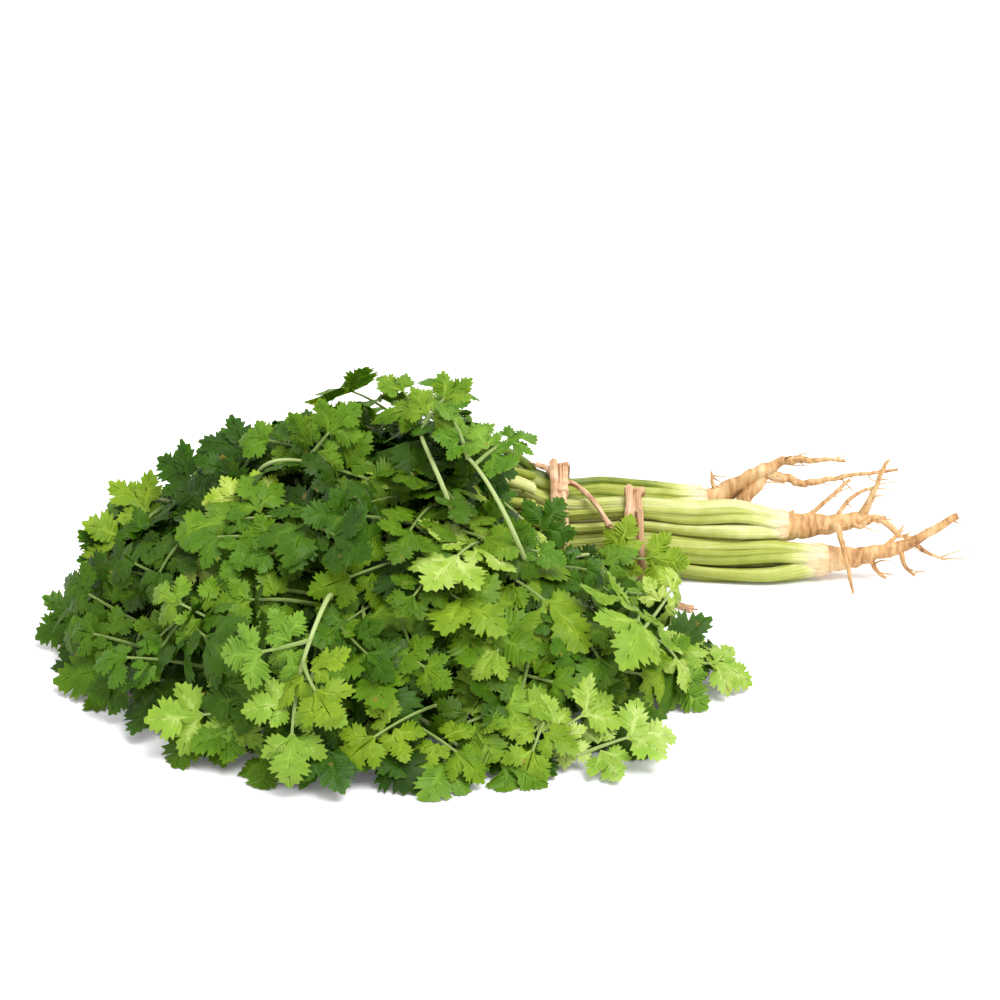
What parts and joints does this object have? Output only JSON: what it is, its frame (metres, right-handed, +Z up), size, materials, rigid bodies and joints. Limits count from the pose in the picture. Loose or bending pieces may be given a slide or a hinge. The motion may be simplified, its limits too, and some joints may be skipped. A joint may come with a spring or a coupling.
{
  "type": "coriander bunch",
  "caption": "Bunch of fresh coriander lying down: rooted plants tied round their stalks with plant-fibre string, leafy stems fanned out in one heap.",
  "frame": {"origin": "middle of the flat where the front plant's stalks lie on the table", "axes": "+X along the stalks towards the roots, +Y away from the side that the leaves spread to, +Z up from the table"},
  "size_m": [0.3371, 0.2385, 0.1081],
  "materials": {
    "leaf": "satin fresh green leaf, lighter towards the front plant",
    "stalk": "satin pale green, creamy at the crown, fine ribs",
    "root": "matt tan bark with darker rings and scars",
    "string": "matt twisted plant fibre"
  },
  "bodies": {
    "root": {"root_back": "root", "root_front": "root", "root_middle": "root", "spray_back_1": "leaf", "spray_back_2": "leaf", "spray_back_3": "leaf", "spray_back_4": "leaf", "spray_back_5": "leaf", "spray_back_6": "leaf", "spray_back_7": "leaf", "spray_back_8": "leaf", "spray_back_9": "leaf", "spray_front_1": "leaf", "spray_front_2": "leaf", "spray_front_3": "leaf", "spray_front_4": "leaf", "spray_front_5": "leaf", "spray_front_6": "leaf", "spray_front_7": "leaf", "spray_front_8": "leaf", "spray_middle_1": "leaf", "spray_middle_2": "leaf", "spray_middle_3": "leaf", "spray_middle_4": "leaf", "spray_middle_5": "leaf", "spray_middle_6": "leaf", "spray_middle_7": "leaf", "spray_middle_8": "leaf", "stalks_back": "stalk", "stalks_front": "stalk", "stalks_middle": "stalk", "tie_pair": "string", "tie_whole": "string"}
  },
  "joints": []
}
